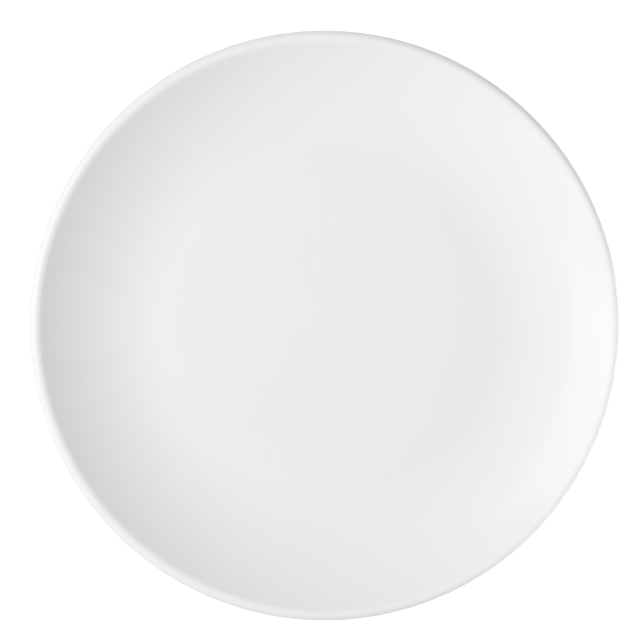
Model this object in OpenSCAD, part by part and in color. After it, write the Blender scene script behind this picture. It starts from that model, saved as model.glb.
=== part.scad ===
// Coupe dinner plate: one porcelain body under a fired glaze.
// It stands on its foot ring at z = 0, with its axis on Z.
// Sizes are in millimetres and are those of the glazed plate.

/* [Plate] */
// Diameter over the lip
plate_d = 270; // [240:1:310]
// Height of the lip's crest above the table
plate_h = 24; // [20:0.5:32]
// Radius of the lip's roll, from its crest out to the edge
roll_r = 3.4; // [2:0.1:5]
// Radius under the lip, from the edge in to the back
under_r = 1.6; // [1:0.1:3]
// Radius of the lip's shoulder, from its crest in to the wall
shoulder_r = 4; // [2.5:0.1:8]

/* [Well] */
// Thickness of the floor at its middle
floor_t = 5; // [3.5:0.1:7]
// Diameter of the flat middle of the floor
middle_d = 110; // [60:1:130]
// Diameter of the lowest ring of the floor, where the wall begins
verge_d = 166; // [140:1:190]
// Rise of the middle above that lowest ring
crown = 1; // [0.2:0.1:1.5]
// Share of that rise which is crowned, before the floor turns hollow
crown_share = 0.8; // [0.3:0.05:0.9]

/* [Foot ring] */
// Diameter at the middle of the standing face
foot_d = 160; // [145:1:185]
// Width of the flat standing face
foot_w = 2.5; // [1.5:0.1:5]
// Height of the ring on its outer side
foot_h = 2.8; // [2.5:0.1:4.5]
// Depth of the recess inside the ring
recess = 3.5; // [2.5:0.1:5]
// Lean of the ring's sides off the vertical, in degrees
foot_lean = 15; // [5:1:25]
// Radius of the standing face's edges
foot_edge_r = 0.5; // [0.2:0.1:0.8]
// Radius where the ring runs into the back
foot_root_r = 1.5; // [0.8:0.1:2]

/* [Glaze] */
// Thickness of the glaze
glaze_t = 0.3; // [0.2:0.05:0.5]
// Height of the bare porcelain above the table
bare_h = 1; // [0.7:0.1:1.3]

/* [Hidden] */

$fn = 180;
glaze_white = "#ebebeb";
bare_white = "#f0eee8";

// Widest gap between a round stretch and its chords
sag = 0.01;
// Points nearer to each other than this are one point
same_point = 0.001;

// Lip: the roll falls from the crest to the edge, and the arc under it carries on from there.
roll_c = [plate_d / 2 - roll_r, plate_h - roll_r];
under_c = [plate_d / 2 - under_r, roll_c[1]];

// Face: a flat middle, a crown that falls away from it, a hollow, the wall and the lip's shoulder.
// Each arc touches the next. They are level on the lowest ring, and at the lip's crest.
shoulder_c = [roll_c[0], plate_h - shoulder_r];
middle_z = recess + floor_t;
verge_z = middle_z - crown;
wall_run = shoulder_c[0] - verge_d / 2;
wall_rise = shoulder_c[1] - verge_z;
wall_r = (wall_run ^ 2 + wall_rise ^ 2 - shoulder_r ^ 2) / (2 * (wall_rise + shoulder_r));
wall_c = [verge_d / 2, verge_z + wall_r];
crown_run = (verge_d - middle_d) / 2;
fall_r = (crown_run ^ 2 + crown ^ 2) / (2 * crown);
crown_r = crown_share * fall_r;
crown_c = [middle_d / 2, middle_z - crown_r];
hollow_r = fall_r - crown_r;
hollow_c = [verge_d / 2, verge_z + hollow_r];

// Back: one arc from under the lip, level where it meets the foot ring.
foot_r = foot_d / 2;
back_run = under_c[0] - foot_r;
back_rise = under_c[1] - foot_h;
back_r = (back_run ^ 2 + back_rise ^ 2 - under_r ^ 2) / (2 * (back_rise - under_r));
back_c = [foot_r, foot_h + back_r];

// Ways that the surface faces in the section, as angles: up, out from the axis, down, and in towards it
up_a = 90;
out_a = 0;
down_a = -90;
in_a = -180;

// Unit vector at an angle
function toward(angle) = [cos(angle), sin(angle)];

// Angle of the line from one point to another
function bearing(from, to) = atan2(to[1] - from[1], to[0] - from[0]);

// The foot ring's two sides: outer is 1 and inner is -1.
// Each starts at the standing face's edge and leans away from the ring's middle.
outer = 1;
inner = -1;
function edge_c(which) = [foot_r + which * foot_w / 2, foot_edge_r];
function side_out(which) = [which * cos(foot_lean), -sin(foot_lean)];
function side_up(which) = [which * sin(foot_lean), cos(foot_lean)];
function side(which, up, inset) =
    edge_c(which) + (foot_edge_r + glaze_t - inset) * side_out(which) + up * side_up(which);

// Distance up a side to the glaze's edge
line_up = (bare_h - side(outer, 0, 0)[1]) / cos(foot_lean);

// Root of the outer side: an arc that touches the side and the back
outer_root_from = side(outer, 0, -foot_root_r) - back_c;
outer_root_along = outer_root_from * side_up(outer);
outer_root_up = -outer_root_along - sqrt(
    outer_root_along ^ 2 - outer_root_from * outer_root_from + (back_r + foot_root_r) ^ 2);
outer_root_c = side(outer, outer_root_up, -foot_root_r);

// Root of the inner side: an arc that touches the side and the recess
inner_root_up = (recess - foot_root_r - side(inner, 0, -foot_root_r)[1]) / cos(foot_lean);
inner_root_c = side(inner, inner_root_up, -foot_root_r);

// The way that the surface faces where two arcs touch
crown_a = bearing(crown_c, hollow_c);
wall_a = bearing(shoulder_c, wall_c);
back_a = bearing(back_c, under_c);
root_a = bearing(back_c, outer_root_c);

// Points of a round stretch while the way that it faces turns from a0 to a1.
// A hollow stretch has a negative radius, and the inset sinks it into the plate.
function arc(centre, radius, a0, a1, inset) =
    let (steps = ceil(abs(a1 - a0) / (2 * acos(1 - sag / abs(radius)))))
    [for (i = [0 : steps]) centre + (radius - inset) * toward(a0 + (a1 - a0) * i / steps)];

// Section from the middle of the face, round the lip and down to the glaze's outer edge
function outer_stretch(inset) = concat(
    [[0, middle_z - inset]],
    arc(crown_c, crown_r, up_a, crown_a, inset),
    arc(hollow_c, -hollow_r, crown_a, up_a, inset),
    arc(wall_c, -wall_r, up_a, wall_a, inset),
    arc(shoulder_c, shoulder_r, wall_a, up_a, inset),
    arc(roll_c, roll_r, up_a, out_a, inset),
    arc(under_c, under_r, out_a, back_a, inset),
    arc(back_c, back_r, back_a, root_a, inset),
    arc(outer_root_c, -foot_root_r, root_a, out_a - foot_lean, inset),
    [side(outer, line_up, inset)]
);

// Section from the glaze's edge inside the foot ring to the middle of the recess
function recess_stretch(inset) = concat(
    [side(inner, line_up, inset)],
    arc(inner_root_c, -foot_root_r, in_a + foot_lean, down_a, inset),
    [[0, recess + inset]]
);

// Section of the bare foot, across its standing face
bare_foot = concat(
    arc(edge_c(outer), foot_edge_r, out_a - foot_lean, down_a, 0),
    arc(edge_c(inner), foot_edge_r, down_a, in_a + foot_lean, 0)
);

function reversed(points) = [for (i = [len(points) - 1 : -1 : 0]) points[i]];

function without_repeats(points) = [
    for (i = [0 : len(points) - 1])
        if (i == 0 || norm(points[i] - points[i - 1]) > same_point) points[i]
];

// Solid turned from a closed section
module turned(section) {
    rotate_extrude() polygon(without_repeats(section));
}

// Fired clay body, one piece from lip to foot ring
module porcelain_body() {
    color(bare_white)
        turned(concat(outer_stretch(glaze_t), bare_foot, recess_stretch(glaze_t)));
}

// Glaze over the face, the lip and the back, as far as the foot ring
module outer_glaze() {
    color(glaze_white)
        turned(concat(outer_stretch(0), reversed(outer_stretch(glaze_t))));
}

// Glaze inside the foot ring, which the bare foot parts from the rest
module foot_well_glaze() {
    color(glaze_white)
        turned(concat(recess_stretch(0), reversed(recess_stretch(glaze_t))));
}

porcelain_body();
outer_glaze();
foot_well_glaze();
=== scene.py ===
"""Coupe dinner plate: glazed porcelain built on its CAD frame, with a pale studio stage."""

import math
from collections import namedtuple

import bpy
from bpy.props import FloatProperty, FloatVectorProperty, PointerProperty
from mathutils import Matrix, Vector, noise


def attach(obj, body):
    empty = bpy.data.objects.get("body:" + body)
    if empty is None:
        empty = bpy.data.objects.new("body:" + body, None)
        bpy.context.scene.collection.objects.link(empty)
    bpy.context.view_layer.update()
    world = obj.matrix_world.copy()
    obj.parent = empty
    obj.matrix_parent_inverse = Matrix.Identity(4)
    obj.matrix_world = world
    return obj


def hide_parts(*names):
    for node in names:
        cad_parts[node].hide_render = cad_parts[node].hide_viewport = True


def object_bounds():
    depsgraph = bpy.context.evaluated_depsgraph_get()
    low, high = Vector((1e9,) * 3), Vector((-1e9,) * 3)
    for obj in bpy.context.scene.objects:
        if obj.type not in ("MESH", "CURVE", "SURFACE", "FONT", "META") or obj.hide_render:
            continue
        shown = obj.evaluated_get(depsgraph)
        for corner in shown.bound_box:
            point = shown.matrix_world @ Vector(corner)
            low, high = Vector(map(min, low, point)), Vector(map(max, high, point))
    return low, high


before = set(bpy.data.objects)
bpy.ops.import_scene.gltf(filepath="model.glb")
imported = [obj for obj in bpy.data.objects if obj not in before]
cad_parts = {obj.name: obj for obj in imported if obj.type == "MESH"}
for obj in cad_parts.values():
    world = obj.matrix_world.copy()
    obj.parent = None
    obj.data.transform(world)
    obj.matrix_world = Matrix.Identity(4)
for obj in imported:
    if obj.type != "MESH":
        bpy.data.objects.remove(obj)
CAD_LOW, CAD_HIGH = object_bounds()

bl_info = {
    "name": "Coupe dinner plate",
    "version": (1, 0, 0),
    "blender": (4, 5, 0),
    "location": "View3D > Sidebar > Plate",
    "description": "Builds a glazed porcelain coupe plate on its CAD frame, and its studio stage",
    "category": "Add Mesh",
}

MM = 0.001
BODY = "root"

# Fineness of the meshes: quads round the plate, the widest gap between an arc of the section and its
# chords, the gap below which two points are one, rings of a flat round, and steps round the glaze's edge
TURNS = 288
SAG = 0.004 * MM
CLOSE = SAG / 4
FLAT_RINGS = 8
BEAD_STEPS = 6

# How a fired plate departs from a turned one: the sides that settle and where they lie, how sharply the
# pinch fades, and the noise by which the glaze's edge wavers, with its rate round the plate and its octaves
SETTLED_SIDES, SETTLED_PHASE = 2, 0.6
PINCH_POWER = 4
WAVER_RATE = 9
WAVER_FALL, WAVER_GAP, WAVER_OCTAVES = 1.0, 2.0, 3

# The photograph: its side, and where the plate's centre and edge lie in it, in pixels
PHOTO_SIDE = 640
PHOTO_CENTRE = (324.4, 325.5)
PHOTO_RADIUS = 295.0

# White light, and the refractive index of feldspar glaze and of vitrified porcelain
WHITE = (1, 1, 1, 1)
IOR = 1.5

# Radians through which a wave texture of scale 1 turns over one metre
WAVE_RATE = 20

# Sockets of a colour Mix node, which has several of the same name
MIX_FACTOR, MIX_A, MIX_B, MIX_RESULT = 0, 6, 7, 2


def linear(hex_colour):
    """Linear red, green and blue of an sRGB hex colour."""
    channels = [int(hex_colour[i : i + 2], 16) / 255 for i in (1, 3, 5)]
    return [c / 12.92 if c <= 0.04045 else ((c + 0.055) / 1.055) ** 2.4 for c in channels]


def length(name, description, default):
    """A size in metres that the sidebar shows in the scene's own unit."""
    return FloatProperty(name=name, description=description, default=default, min=0, unit="LENGTH")


def angle(name, description, degrees):
    """An angle given in degrees and kept in radians."""
    return FloatProperty(
        name=name, description=description, default=math.radians(degrees), subtype="ANGLE"
    )


def share(name, description, default):
    """A share from 0 to 1."""
    return FloatProperty(
        name=name, description=description, default=default, min=0, max=1, subtype="FACTOR"
    )


def strength(name, description, default):
    """A level of light, where 1 is white."""
    return FloatProperty(name=name, description=description, default=default, min=0)


def watts(name, description, default):
    """The power of a lamp."""
    return FloatProperty(name=name, description=description, default=default, min=0, unit="POWER")


def colour(name, description, hex_colour):
    """A colour given as an sRGB hex value and kept as linear light."""
    return FloatVectorProperty(
        name=name, description=description, subtype="COLOR", min=0, max=1, default=linear(hex_colour)
    )


class PlateSizes(bpy.types.PropertyGroup):
    """Sizes of the glazed plate"""

    plate_d: length("Plate diameter", "Over the lip", min((CAD_HIGH - CAD_LOW).xy))
    plate_h: length("Plate height", "From the table to the lip's crest", CAD_HIGH.z)
    roll_r: length("Lip roll", "Radius from the lip's crest out to the edge", 3.4 * MM)
    under_r: length("Lip underside", "Radius from the edge in to the back", 1.6 * MM)
    shoulder_r: length("Lip shoulder", "Radius from the lip's crest in to the wall", 4 * MM)
    floor_t: length("Floor thickness", "At the middle of the plate", 5 * MM)
    middle_d: length("Flat middle", "Diameter of the flat middle of the floor", 110 * MM)
    verge_d: length("Verge", "Diameter of the lowest ring, where the wall begins", 166 * MM)
    crown: length("Crown", "Rise of the middle above the lowest ring", 1 * MM)
    crown_share: share("Crown share", "Of that rise which is crowned, before the floor turns hollow", 0.8)
    foot_d: length("Foot diameter", "At the middle of the standing face", 160 * MM)
    foot_w: length("Foot width", "Of the flat standing face", 2.5 * MM)
    foot_h: length("Foot height", "On the ring's outer side", 2.8 * MM)
    foot_lean: angle("Foot lean", "Of the ring's sides, off the vertical", 15)
    recess: length("Recess", "Depth inside the foot ring", 3.5 * MM)
    foot_edge_r: length("Foot edge", "Radius of the standing face's edges", 0.5 * MM)
    foot_root_r: length("Foot root", "Radius where the ring runs into the back", 1.5 * MM)
    glaze_t: length("Glaze thickness", "Of the fired coat", 0.3 * MM)
    bare_h: length("Bare height", "Of the unglazed foot above the table", 1 * MM)
    glaze_waver: length("Glaze waver", "How far the wiped edge of the glaze wanders", 0.14 * MM)
    warp: length("Warp", "How far the lip settles in the kiln", 0.25 * MM)
    pinch: length("Pinch", "How much narrower the lip's roll is at one side", 2.3 * MM)
    pinch_turn: angle("Pinched side", "Turn of the narrowest lip", 338)


class PlateColours(bpy.types.PropertyGroup):
    """Colours of the glaze and the bare clay"""

    glaze: colour("Glaze", "Clear glaze over the white body", "#EBEBEB")
    glaze_shade: colour("Glaze, shade", "Faint clouds in the glaze", "#E9E9E9")
    glaze_pool: colour("Glaze, pooled", "Where the glaze has run thick", "#E1E5E4")
    bare: colour("Bare porcelain", "Unglazed foot", "#EFEDE7")
    bare_rubbed: colour("Bare porcelain, rubbed", "Grey marks from the table", "#CFCCC6")


class StageSettings(bpy.types.PropertyGroup):
    """The paper floor, the studio light and the camera"""

    floor: colour("Floor", "Paper as it is seen", "#E7E7E7")
    floor_bounce: colour("Floor bounce", "Paper as it lights the plate from below", "#7C7C7C")
    floor_lift: strength("Floor lift", "Glow of the paper as it is seen", 0.58)
    floor_w: length("Floor width", "Side of the paper", 12)
    key_turn: angle("Key side", "Turn of the brighter side", 192)
    key_side: strength("Key side light", "Level at the brighter side", 1.634)
    far_side: strength("Far side light", "Level at the darker side", 0.379)
    horizon: share("Horizon light", "Share of the light that is left at the horizon", 0.556)
    horizon_rise: angle("Horizon height", "Where the light is whole again", 53)
    lamp_power: watts("Softbox power", "Of the softbox on the key side", 0.809)
    lamp_reach: length("Softbox distance", "From the plate", 0.7)
    lamp_w: length("Softbox width", "Side of its square face", 0.49)
    lamp_turn: angle("Softbox side", "Turn of the softbox", 165)
    lamp_rise: angle("Softbox height", "Angle above the table", 40)
    fill_power: watts("Fill power", "Of the low strip on the far side", 0.187)
    fill_turn: angle("Fill side", "Turn of the low strip", 345)
    fill_reach: length("Fill distance", "From the plate's axis", 0.27)
    fill_w: length("Fill width", "Length of the low strip", 0.25)
    fill_h: length("Fill height", "Of the low strip, which stays below the lip", 0.018)
    lens: FloatProperty(
        name="Lens", description="Focal length on a 36 mm sensor", default=135, subtype="DISTANCE_CAMERA"
    )


# One point of the section: its radius, its height, how thick the glaze has pooled there from 0 to 1,
# how far it moves with the pinched crest from 0 to 1, and the way in which the glaze's wiped edge wanders
Station = namedtuple("Station", "r z pool follow wander", defaults=(0.0, 0.0, (0.0, 0.0)))


def bearing(start, end):
    """Angle of the line from one point of the section to another."""
    return math.atan2(end[1] - start[1], end[0] - start[0])


def heading(turn):
    """Level unit vector at a turn about the plate's axis."""
    return Vector((math.cos(turn), math.sin(turn), 0))


def arc(centre, radius, a0, a1, inset, pool=0.0):
    """Stations of a round stretch while its outward normal turns from a0 to a1.
    A hollow stretch has a negative radius, and the inset sinks it into the plate."""
    steps = math.ceil(abs(a1 - a0) / (2 * math.acos(1 - SAG / abs(radius))))
    stations = []
    for i in range(steps + 1):
        normal = a0 + (a1 - a0) * i / steps
        swell = math.sin(math.pi * i / steps)
        stations.append(
            Station(
                centre[0] + (radius - inset) * math.cos(normal),
                centre[1] + (radius - inset) * math.sin(normal),
                pool * swell,
            )
        )
    return stations


class Section:
    """Half of the plate's section, in metres.
    An inset of 0 gives the glaze's skin, and one of the glaze's thickness gives the clay under it."""

    def __init__(self, sizes):
        self.s = s = sizes
        # Lip: the roll falls from the crest to the edge, and the arc under it carries on from there
        self.roll_c = (s.plate_d / 2 - s.roll_r, s.plate_h - s.roll_r)
        self.under_c = (s.plate_d / 2 - s.under_r, self.roll_c[1])

        # Face: the lip's shoulder, the wall, the hollow and the crown touch one another
        self.shoulder_c = (self.roll_c[0], s.plate_h - s.shoulder_r)
        self.middle_z = s.recess + s.floor_t
        verge_z = self.middle_z - s.crown
        run, rise = self.shoulder_c[0] - s.verge_d / 2, self.shoulder_c[1] - verge_z
        self.wall_r = (run**2 + rise**2 - s.shoulder_r**2) / (2 * (rise + s.shoulder_r))
        self.wall_c = (s.verge_d / 2, verge_z + self.wall_r)
        run = (s.verge_d - s.middle_d) / 2
        fall_r = (run**2 + s.crown**2) / (2 * s.crown)
        self.crown_r = s.crown_share * fall_r
        self.crown_c = (s.middle_d / 2, self.middle_z - self.crown_r)
        self.hollow_r = fall_r - self.crown_r
        self.hollow_c = (s.verge_d / 2, verge_z + self.hollow_r)

        # Back: one arc from the lip, level where it meets the foot ring
        run, rise = self.under_c[0] - s.foot_d / 2, self.under_c[1] - s.foot_h
        self.back_r = (run**2 + rise**2 - s.under_r**2) / (2 * (rise - s.under_r))
        self.back_c = (s.foot_d / 2, s.foot_h + self.back_r)

        # Foot ring: the glaze's edge and the roots, as distances up its leaning sides
        lean = math.cos(s.foot_lean)
        self.line_up = (s.bare_h - self.side(1, 0, 0)[1]) / lean
        foot = Vector(self.side(1, 0, -s.foot_root_r)) - Vector(self.back_c)
        along = foot.dot(self.side_up(1))
        reach = self.back_r + s.foot_root_r
        self.outer_root_up = -along - math.sqrt(along**2 - foot.length_squared + reach**2)
        root_z = self.side(-1, 0, -s.foot_root_r)[1]
        self.inner_root_up = (s.recess - s.foot_root_r - root_z) / lean

    def side_up(self, which):
        """Unit vector up the foot ring's outer side, 1, or its inner side, -1."""
        return Vector((which * math.sin(self.s.foot_lean), math.cos(self.s.foot_lean)))

    def side(self, which, up, inset):
        """Point at a distance up one of the foot ring's sides."""
        s = self.s
        out = Vector((which * math.cos(s.foot_lean), -math.sin(s.foot_lean)))
        edge_c = Vector((s.foot_d / 2 + which * s.foot_w / 2, s.foot_edge_r))
        return tuple(edge_c + (s.foot_edge_r + s.glaze_t - inset) * out + up * self.side_up(which))

    def face_to_foot(self, inset):
        """From the middle of the face, round the lip and down to the glaze's outer edge."""
        s = self.s
        level = math.pi / 2
        crown_a = bearing(self.crown_c, self.hollow_c)
        wall_a = bearing(self.shoulder_c, self.wall_c)
        back_a = bearing(self.back_c, self.under_c)
        root_c = self.side(1, self.outer_root_up, -s.foot_root_r)
        root_a = bearing(self.back_c, root_c)
        flat = [
            Station(s.middle_d / 2 * i / FLAT_RINGS, self.middle_z - inset) for i in range(FLAT_RINGS)
        ]
        wall = arc(self.wall_c, -self.wall_r, level, wall_a, inset)
        wall += arc(self.shoulder_c, s.shoulder_r, wall_a, level, inset)
        climb = self.roll_c[0] - s.verge_d / 2
        wall = [p._replace(follow=(1 - (self.roll_c[0] - p.r) / climb) ** 2) for p in wall]
        roll = arc(self.roll_c, s.roll_r, level, 0, inset)
        roll = [p._replace(follow=1 - (p.r - self.roll_c[0]) / (s.roll_r - inset)) for p in roll]
        return (
            flat
            + arc(self.crown_c, self.crown_r, level, crown_a, inset)
            + arc(self.hollow_c, -self.hollow_r, crown_a, level, inset)
            + wall
            + roll
            + arc(self.under_c, s.under_r, 0, back_a, inset)
            + arc(self.back_c, self.back_r, back_a, root_a, inset)
            + arc(root_c, -s.foot_root_r, root_a, -s.foot_lean, inset, pool=1.0)
        )

    def foot_to_recess(self, inset):
        """From the root inside the foot ring to the middle of the recess."""
        s = self.s
        root_c = self.side(-1, self.inner_root_up, -s.foot_root_r)
        root = arc(root_c, -s.foot_root_r, math.pi + s.foot_lean, 1.5 * math.pi, inset, pool=1.0)
        return root + [
            Station(root_c[0] * i / FLAT_RINGS, s.recess + inset) for i in reversed(range(FLAT_RINGS))
        ]

    def glaze_edge(self, which):
        """The rounded edge where the glaze was wiped off one of the foot ring's sides, from outside in."""
        bead_r = self.s.glaze_t / 2
        up = self.side_up(which)
        stations = []
        for i in range(BEAD_STEPS + 1):
            bend = math.pi * i / BEAD_STEPS
            inset = bead_r * (1 - math.cos(bend))
            r, z = self.side(which, self.line_up - bead_r * math.sin(bend), inset)
            stations.append(Station(r, z, wander=tuple(up)))
        return stations

    def bare_foot(self):
        """The unglazed foot, from the glaze's outer edge across the standing face to its inner edge."""
        s = self.s
        start = Station(*self.side(1, self.line_up, s.glaze_t))
        end = Station(*self.side(-1, self.line_up, s.glaze_t))
        outer_c = (s.foot_d / 2 + s.foot_w / 2, s.foot_edge_r)
        inner_c = (s.foot_d / 2 - s.foot_w / 2, s.foot_edge_r)
        return (
            [start]
            + arc(outer_c, s.foot_edge_r, -s.foot_lean, -math.pi / 2, 0)
            + arc(inner_c, s.foot_edge_r, -math.pi / 2, s.foot_lean - math.pi, 0)
            + [end]
        )

    def outer_coat(self):
        """Closed loop of the glaze over the face, the lip and the back."""
        skin = self.face_to_foot(0) + self.glaze_edge(1)
        return skin + self.face_to_foot(self.s.glaze_t)[::-1]

    def recess_coat(self):
        """Closed loop of the glaze inside the foot ring."""
        skin = self.glaze_edge(-1)[::-1] + self.foot_to_recess(0)
        return skin + self.foot_to_recess(self.s.glaze_t)[::-1]

    def clay(self):
        """Closed loop of the porcelain body."""
        clay = self.s.glaze_t
        return self.face_to_foot(clay) + self.bare_foot() + self.foot_to_recess(clay)


def fired(station, turn, sizes):
    """Where a station lies at one turn of the fired plate.
    Beyond the foot ring it has settled in the kiln, and its lip was sponged narrower at one side."""
    foot_r, lip_r = sizes.foot_d / 2, sizes.plate_d / 2
    out = max(0.0, (station.r - foot_r) / (lip_r - foot_r)) ** 2
    settled = sizes.warp * out * (0.5 - 0.5 * math.cos(SETTLED_SIDES * turn + SETTLED_PHASE))
    near = (1 + math.cos(turn - sizes.pinch_turn)) / 2
    pinched = sizes.pinch * station.follow * near**PINCH_POWER
    way = heading(turn)
    waver = sizes.glaze_waver * noise.fractal(way * WAVER_RATE, WAVER_FALL, WAVER_GAP, WAVER_OCTAVES)
    r = station.r + pinched + waver * station.wander[0]
    z = station.z - settled + waver * station.wander[1]
    return way * r + Vector((0, 0, max(0.0, z)))


def turned(name, loop, sizes, material):
    """A closed piece turned from a loop of stations. A station on the axis becomes one point."""
    loop = [b for a, b in zip([loop[-1]] + loop, loop) if math.dist(a[:2], b[:2]) > CLOSE]
    points, pools, rings, faces = [], [], [], []
    for station in loop:
        count = TURNS if station.r > CLOSE else 1
        rings.append(range(len(points), len(points) + count))
        points += [fired(station, 2 * math.pi * i / TURNS, sizes) for i in range(count)]
        pools += [station.pool] * count
    for ring, below in zip(rings, rings[1:] + rings[:1]):
        count, count_below = len(ring), len(below)
        if count == count_below == 1:
            continue
        for i in range(TURNS):
            j = (i + 1) % TURNS
            corners = (
                ring[i % count],
                below[i % count_below],
                below[j % count_below],
                ring[j % count],
            )
            faces.append(tuple(dict.fromkeys(corners)))
    mesh = bpy.data.meshes.new(name)
    mesh.from_pydata(points, [], faces)
    mesh.attributes.new("glaze_pool", "FLOAT", "POINT").data.foreach_set("value", pools)
    mesh.shade_smooth()
    mesh.materials.append(material)
    if mesh.validate():
        raise RuntimeError(f"{name}: the turned mesh had faults")
    return add_object(name, mesh)


def add_node(tree, kind, inputs=None, **settings):
    """Adds a node, sets it up, and gives each named input a value or a link from another node's socket."""
    made = tree.nodes.new(kind)
    for name, value in settings.items():
        setattr(made, name, value)
    for name, value in (inputs or {}).items():
        if isinstance(value, bpy.types.NodeSocket):
            tree.links.new(value, made.inputs[name])
        else:
            made.inputs[name].default_value = value
    return made


def new_material(name):
    """An empty node material. Returns it and its tree."""
    material = bpy.data.materials.new(name)
    material.use_nodes = True
    material.node_tree.nodes.clear()
    return material, material.node_tree


def glazed_porcelain(colours):
    """Clear feldspar glaze, dipped and fired on white porcelain.
    The eye sees a neutral white under a glassy skin: smooth reflections with soft edges that ripple very
    slightly, faint clouds in the white, and a cool tint where the glaze has pooled at the foot."""
    material, tree = new_material("glazed_porcelain")
    cloud_size, sheen_size = 45 * MM, 12 * MM
    least_rough, most_rough = 0.14, 0.22
    peel_size, peel_depth = 2.5 * MM, 0.0015 * MM
    turning_spacing, turning_depth = 6 * MM, 0.0012 * MM
    turning_wobble = 1.5
    place = add_node(tree, "ShaderNodeTexCoord").outputs["Object"]

    cloud = add_node(tree, "ShaderNodeTexNoise", {"Vector": place, "Scale": 1 / cloud_size, "Detail": 2})
    white = add_node(
        tree,
        "ShaderNodeMix",
        {
            MIX_FACTOR: cloud.outputs["Fac"],
            MIX_A: (*colours.glaze, 1),
            MIX_B: (*colours.glaze_shade, 1),
        },
        data_type="RGBA",
    )
    pool = add_node(tree, "ShaderNodeAttribute", attribute_name="glaze_pool")
    tint = add_node(
        tree,
        "ShaderNodeMix",
        {
            MIX_FACTOR: pool.outputs["Fac"],
            MIX_A: white.outputs[MIX_RESULT],
            MIX_B: (*colours.glaze_pool, 1),
        },
        data_type="RGBA",
    )
    sheen = add_node(tree, "ShaderNodeTexNoise", {"Vector": place, "Scale": 1 / sheen_size, "Detail": 3})
    gloss = add_node(
        tree,
        "ShaderNodeMapRange",
        {"Value": sheen.outputs["Fac"], "To Min": least_rough, "To Max": most_rough},
    )

    # The rings that the turning tool left show through the glaze as the faintest ripple
    turning = add_node(
        tree,
        "ShaderNodeTexWave",
        {
            "Vector": place,
            "Scale": 2 * math.pi / (WAVE_RATE * turning_spacing),
            "Distortion": turning_wobble,
            "Detail": 1,
        },
        wave_type="RINGS",
        rings_direction="Z",
    )
    rings = add_node(
        tree, "ShaderNodeBump", {"Height": turning.outputs["Fac"], "Distance": turning_depth}
    )
    peel = add_node(tree, "ShaderNodeTexNoise", {"Vector": place, "Scale": 1 / peel_size, "Detail": 1})
    skin = add_node(
        tree,
        "ShaderNodeBump",
        {"Height": peel.outputs["Fac"], "Distance": peel_depth, "Normal": rings.outputs["Normal"]},
    )
    shader = add_node(
        tree,
        "ShaderNodeBsdfPrincipled",
        {
            "Base Color": tint.outputs[MIX_RESULT],
            "Roughness": gloss.outputs["Result"],
            "Normal": skin.outputs["Normal"],
            "IOR": IOR,
        },
    )
    add_node(tree, "ShaderNodeOutputMaterial", {"Surface": shader.outputs["BSDF"]})
    return material


def bare_porcelain(colours):
    """Vitrified porcelain that was wiped clean of glaze and fired, then rubbed smooth on a wheel.
    The eye sees a warm, dry white with a fine grit, and grey marks where it has stood on tables."""
    material, tree = new_material("bare_porcelain")
    # Real grit is finer than 0.1 mm, and is drawn coarser so that it shows
    grit_size, grit_depth = 0.4 * MM, 0.02 * MM
    least_rough, most_rough = 0.55, 0.75
    blot_size, mark_size = 9 * MM, 3 * MM
    mark_raggedness = 0.7
    mark_starts, mark_full = 0.48, 0.7
    worn_height, worn_share = 0.25 * MM, 0.9
    place = add_node(tree, "ShaderNodeTexCoord").outputs["Object"]

    height = add_node(tree, "ShaderNodeSeparateXYZ", {"Vector": place})
    worn = add_node(
        tree,
        "ShaderNodeMapRange",
        {"Value": height.outputs["Z"], "From Min": worn_height, "From Max": 0, "To Max": worn_share},
    )
    mark = add_node(
        tree,
        "ShaderNodeTexNoise",
        {"Vector": place, "Scale": 1 / mark_size, "Detail": 6, "Roughness": mark_raggedness},
    )
    patch = add_node(
        tree,
        "ShaderNodeMapRange",
        {"Value": mark.outputs["Fac"], "From Min": mark_starts, "From Max": mark_full},
    )
    rubbed = add_node(
        tree,
        "ShaderNodeMath",
        {0: worn.outputs["Result"], 1: patch.outputs["Result"]},
        operation="MULTIPLY",
    )
    tone = add_node(
        tree,
        "ShaderNodeMix",
        {
            MIX_FACTOR: rubbed.outputs["Value"],
            MIX_A: (*colours.bare, 1),
            MIX_B: (*colours.bare_rubbed, 1),
        },
        data_type="RGBA",
    )
    blot = add_node(tree, "ShaderNodeTexNoise", {"Vector": place, "Scale": 1 / blot_size, "Detail": 3})
    dryness = add_node(
        tree,
        "ShaderNodeMapRange",
        {"Value": blot.outputs["Fac"], "To Min": least_rough, "To Max": most_rough},
    )
    grit = add_node(tree, "ShaderNodeTexNoise", {"Vector": place, "Scale": 1 / grit_size, "Detail": 2})
    grain = add_node(tree, "ShaderNodeBump", {"Height": grit.outputs["Fac"], "Distance": grit_depth})
    shader = add_node(
        tree,
        "ShaderNodeBsdfPrincipled",
        {
            "Base Color": tone.outputs[MIX_RESULT],
            "Roughness": dryness.outputs["Result"],
            "Normal": grain.outputs["Normal"],
            "IOR": IOR,
        },
    )
    add_node(tree, "ShaderNodeOutputMaterial", {"Surface": shader.outputs["BSDF"]})
    return material


def seen_directly(tree):
    """A socket that is 1 for rays from the camera, a reflection or a clear body, and else 0."""
    path = add_node(tree, "ShaderNodeLightPath")
    mirrored = add_node(
        tree,
        "ShaderNodeMath",
        {0: path.outputs["Is Camera Ray"], 1: path.outputs["Is Glossy Ray"]},
        operation="MAXIMUM",
    )
    clear = add_node(
        tree,
        "ShaderNodeMath",
        {0: mirrored.outputs["Value"], 1: path.outputs["Is Transmission Ray"]},
        operation="MAXIMUM",
    )
    return clear.outputs["Value"]


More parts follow.
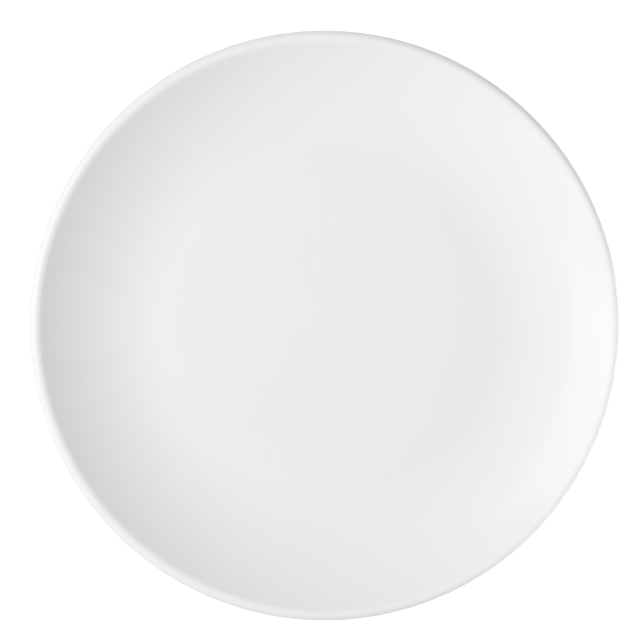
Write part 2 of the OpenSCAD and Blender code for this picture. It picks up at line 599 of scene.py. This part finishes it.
def white_paper(stage):
    """Matt paper sweep. It gives back a mid share of the studio's light, and is seen as white with a soft
    shadow under the plate."""
    material, tree = new_material("white_paper")
    bounce = add_node(tree, "ShaderNodeBsdfDiffuse", {"Color": (*stage.floor_bounce, 1)})
    paper = add_node(tree, "ShaderNodeBsdfDiffuse", {"Color": (*stage.floor, 1)})
    glow = add_node(tree, "ShaderNodeEmission", {"Color": WHITE, "Strength": stage.floor_lift})
    seen = add_node(tree, "ShaderNodeAddShader", {0: paper.outputs["BSDF"], 1: glow.outputs["Emission"]})
    both = add_node(
        tree,
        "ShaderNodeMixShader",
        {0: seen_directly(tree), 1: bounce.outputs["BSDF"], 2: seen.outputs["Shader"]},
    )
    add_node(tree, "ShaderNodeOutputMaterial", {"Surface": both.outputs["Shader"]})
    return material


def studio_world(stage):
    """Soft light all round, seen as a white wall.
    It is brighter from the key side and dimmer near the horizon."""
    world = bpy.data.worlds.new("studio_light")
    world.use_nodes = True
    tree = world.node_tree
    tree.nodes.clear()
    way = add_node(tree, "ShaderNodeTexCoord").outputs["Generated"]
    facing = add_node(
        tree, "ShaderNodeVectorMath", {0: way, 1: heading(stage.key_turn)}, operation="DOT_PRODUCT"
    )
    graded = add_node(
        tree,
        "ShaderNodeMapRange",
        {
            "Value": facing.outputs["Value"],
            "From Min": -1,
            "To Min": stage.far_side,
            "To Max": stage.key_side,
        },
    )
    upward = add_node(tree, "ShaderNodeSeparateXYZ", {"Vector": way})
    risen = add_node(
        tree,
        "ShaderNodeMapRange",
        {
            "Value": upward.outputs["Z"],
            "From Max": math.sin(stage.horizon_rise),
            "To Min": stage.horizon,
        },
    )
    level = add_node(
        tree,
        "ShaderNodeMath",
        {0: graded.outputs["Result"], 1: risen.outputs["Result"]},
        operation="MULTIPLY",
    )
    light = add_node(tree, "ShaderNodeBackground", {"Color": WHITE, "Strength": level.outputs["Value"]})
    wall = add_node(tree, "ShaderNodeBackground", {"Color": WHITE, "Strength": 1})
    both = add_node(
        tree,
        "ShaderNodeMixShader",
        {0: seen_directly(tree), 1: light.outputs["Background"], 2: wall.outputs["Background"]},
    )
    add_node(tree, "ShaderNodeOutputWorld", {"Surface": both.outputs["Shader"]})
    return world


def aimed(eye, target, top):
    """Place of a camera or a lamp at the eye that looks at the target, with its top side turned one way."""
    back = (eye - target).normalized()
    right = top.cross(back).normalized()
    up = back.cross(right)
    turn = Matrix((right, up, back)).transposed()
    return Matrix.Translation(eye) @ turn.to_4x4()


def add_lamp(name, power, width, height):
    """A soft flat lamp that the camera doesn't see."""
    light = bpy.data.lights.new(name, "AREA")
    light.shape = "RECTANGLE"
    light.size, light.size_y = width, height
    light.energy = power
    lamp = add_object(name, light)
    lamp.visible_camera = False
    return lamp


def add_object(name, data):
    """A new object in the scene, at the origin."""
    made = bpy.data.objects.new(name, data)
    bpy.context.scene.collection.objects.link(made)
    return made


class PLATE_OT_porcelain_body(bpy.types.Operator):
    """Turns the white porcelain body, which shows bare on the foot ring"""

    bl_idname = "plate.porcelain_body"
    bl_label = "Porcelain body"

    def execute(self, context):
        sizes, colours = context.scene.plate_sizes, context.scene.plate_colours
        body = turned("porcelain", Section(sizes).clay(), sizes, bare_porcelain(colours))
        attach(body, BODY)
        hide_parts("porcelain_body")
        return {"FINISHED"}


class PLATE_OT_glaze_coats(bpy.types.Operator):
    """Lays the glaze over the face, the lip and the back, and over the recess inside the foot ring"""

    bl_idname = "plate.glaze_coats"
    bl_label = "Glaze coats"

    def execute(self, context):
        sizes = context.scene.plate_sizes
        section = Section(sizes)
        glaze = glazed_porcelain(context.scene.plate_colours)
        coats = (
            ("glaze_over_plate", section.outer_coat(), "outer_glaze"),
            ("glaze_in_recess", section.recess_coat(), "foot_well_glaze"),
        )
        for name, loop, node in coats:
            coat = turned(name, loop, sizes, glaze)
            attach(coat, BODY)
            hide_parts(node)
        return {"FINISHED"}


class PLATE_OT_studio_stage(bpy.types.Operator):
    """Sets out the paper floor, the soft light and the camera above the plate"""

    bl_idname = "plate.studio_stage"
    bl_label = "Studio stage"

    def execute(self, context):
        scene = context.scene
        sizes, stage = scene.plate_sizes, scene.plate_stage
        up = Vector((0, 0, 1))

        half = stage.floor_w / 2
        corners = [(-half, -half, 0), (half, -half, 0), (half, half, 0), (-half, half, 0)]
        paper = bpy.data.meshes.new("paper_floor")
        paper.from_pydata(corners, [], [(0, 1, 2, 3)])
        paper.materials.append(white_paper(stage))
        add_object("paper_floor", paper)

        scene.world = studio_world(stage)
        rise = stage.lamp_rise
        high = heading(stage.lamp_turn) * math.cos(rise) + up * math.sin(rise)
        softbox = add_lamp("softbox", stage.lamp_power, stage.lamp_w, stage.lamp_w)
        softbox.matrix_world = aimed(high * stage.lamp_reach, Vector(), up)

        # A strip that stays below the lip, so that it fills the lip's far side and never the well
        level = up * (stage.fill_h / 2)
        strip = add_lamp("low_strip", stage.fill_power, stage.fill_w, stage.fill_h)
        strip.matrix_world = aimed(heading(stage.fill_turn) * stage.fill_reach + level, level, up)

        # The lip's rim fills the photograph's circle from this far above it
        camera = bpy.data.cameras.new("camera")
        camera.lens = stage.lens
        pixel = sizes.plate_d / 2 / PHOTO_RADIUS
        reach = pixel * PHOTO_SIDE * camera.lens / camera.sensor_width
        off_x, off_y = (pixel * (c - PHOTO_SIDE / 2) for c in PHOTO_CENTRE)
        target = Vector((-off_x, off_y, sizes.plate_h - sizes.roll_r))
        eye = add_object("camera", camera)
        eye.matrix_world = aimed(target + up * reach, target, Vector((0, 1, 0)))
        scene.camera = eye
        scene.view_settings.view_transform = "Standard"
        return {"FINISHED"}


class VIEW3D_PT_coupe_plate(bpy.types.Panel):
    """The plate's pieces, its stage and their sizes and colours"""

    bl_label = "Coupe dinner plate"
    bl_space_type = "VIEW_3D"
    bl_region_type = "UI"
    bl_category = "Plate"

    def draw(self, context):
        layout = self.layout
        for operator in OPERATORS:
            layout.operator(operator.bl_idname)
        for group in GROUPS:
            values = getattr(context.scene, group)
            box = layout.box()
            for name in values.bl_rna.properties.keys():
                if name not in ("rna_type", "name"):
                    box.prop(values, name)


OPERATORS = (PLATE_OT_porcelain_body, PLATE_OT_glaze_coats, PLATE_OT_studio_stage)
GROUPS = {"plate_sizes": PlateSizes, "plate_colours": PlateColours, "plate_stage": StageSettings}
CLASSES = (*GROUPS.values(), *OPERATORS, VIEW3D_PT_coupe_plate)


def register():
    """Registers the classes and gives the scene their settings."""
    for made in CLASSES:
        bpy.utils.register_class(made)
    for name, group in GROUPS.items():
        setattr(bpy.types.Scene, name, PointerProperty(type=group))


def unregister():
    """Takes the settings and the classes away again."""
    for name in GROUPS:
        delattr(bpy.types.Scene, name)
    for made in reversed(CLASSES):
        bpy.utils.unregister_class(made)


def main():
    """Builds the plate and its stage."""
    register()
    bpy.ops.plate.porcelain_body()
    bpy.ops.plate.glaze_coats()
    bpy.ops.plate.studio_stage()


if __name__ == "__main__":
    main()
